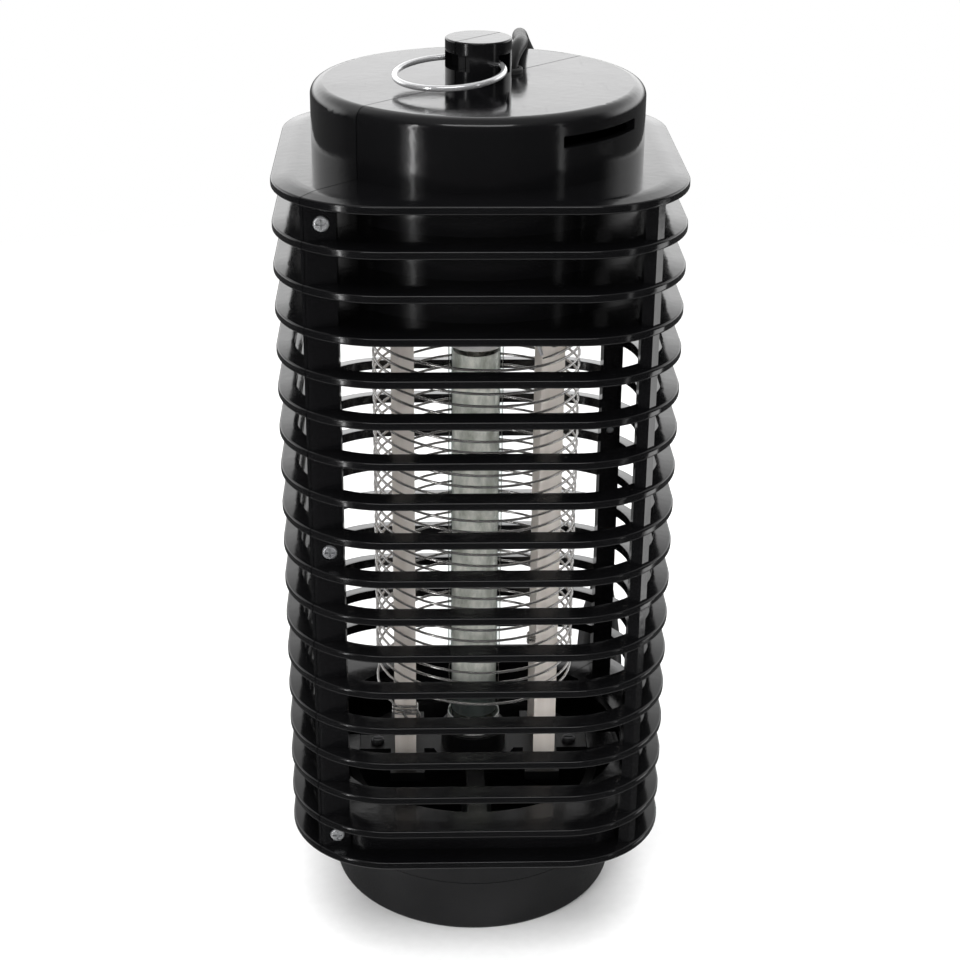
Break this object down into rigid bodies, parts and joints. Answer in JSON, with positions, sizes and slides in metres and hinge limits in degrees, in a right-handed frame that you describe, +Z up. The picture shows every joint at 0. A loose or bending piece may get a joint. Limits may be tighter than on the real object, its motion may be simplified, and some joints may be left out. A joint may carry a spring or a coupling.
{
  "type": "electric bug zapper",
  "caption": "Square tabletop insect killer with stacked louvre fins, a fluorescent tube inside a high-voltage wire grid, a pull-off collection tray, a hanging ring and a mains cord.",
  "frame": {"origin": "centre of the flat underside of the collection tray, on the lamp's axis", "axes": "+Z up along the lamp; -Y the front; +X to the right as seen from the front; the lamp's axis is X = Y = 0"},
  "size_m": [0.11, 0.1361, 0.2598],
  "materials": {
    "housing_plastic": "moulded black ABS with a gloss surface",
    "base_plastic": "charcoal moulded plastic with a fine matte grain",
    "deck_plastic": "black moulded plastic, satin",
    "plated_screws": "bright zinc plated steel",
    "ring_steel": "nickel plated steel wire",
    "cord_pvc": "black PVC sheath, soft satin",
    "grommet_rubber": "moulded black rubber",
    "plug_plastic": "moulded black PVC",
    "pin_brass": "bright turned brass",
    "board_laminate": "green lacquered laminate",
    "capacitor_film": "dipped brick-red resin",
    "capacitor_can": "dark sleeve over an aluminium can",
    "diode_epoxy": "black epoxy",
    "resistor_body": "lacquered ceramic",
    "lamp_glass": "clear soda-lime glass",
    "phosphor": "pale greenish powder coating",
    "cap_aluminium": "pressed aluminium, satin",
    "cathode_wire": "coiled wire on a glass mount",
    "bar_plastic": "off-white insulating plastic, satin",
    "grid_wire": "bright drawn steel wire",
    "lead_insulation": "thin grey insulation"
  },
  "bodies": {
    "housing": {"housing_front_right_half": "housing_plastic", "housing_rear_left_half": "housing_plastic", "housing_screws": "plated_screws", "power_cord": "cord_pvc", "cord_grommet": "grommet_rubber", "plug_body": "plug_plastic", "plug_pins": "pin_brass", "deck_plate": "deck_plastic", "circuit_board": "board_laminate", "board_screws": "plated_screws", "film_capacitors": "capacitor_film", "smoothing_capacitor": "capacitor_can", "rectifier_diodes": "diode_epoxy", "resistors": "resistor_body", "upper_lamp_holder": "deck_plastic", "lower_lamp_holder": "deck_plastic", "lamp_glass": "lamp_glass", "lamp_phosphor": "phosphor", "lamp_end_caps": "cap_aluminium", "lamp_pins": "pin_brass", "lamp_cathodes": "cathode_wire", "grid_bars": "bar_plastic", "grid_coil_a": "grid_wire", "grid_coil_b": "grid_wire", "grid_leads": "lead_insulation", "lamp_leads": "lead_insulation", "grid_spider": "deck_plastic", "spider_screws": "plated_screws", "base_collar": "base_plastic"},
    "hanging_ring": {"hanging_ring": "ring_steel"},
    "collection_tray": {"collection_tray": "base_plastic"}
  },
  "joints": [
    {"name": "ring_hinge", "type": "hinge", "parent": "housing", "child": "hanging_ring", "pos_m": [0, 0, 0.2537], "axis": [-0.788, 0.6157, 0], "range_deg": [0, 96]},
    {"name": "tray_pull", "type": "slide", "parent": "housing", "child": "collection_tray", "axis": [0, 0, -1], "range_m": [0, 0.03]}
  ]
}
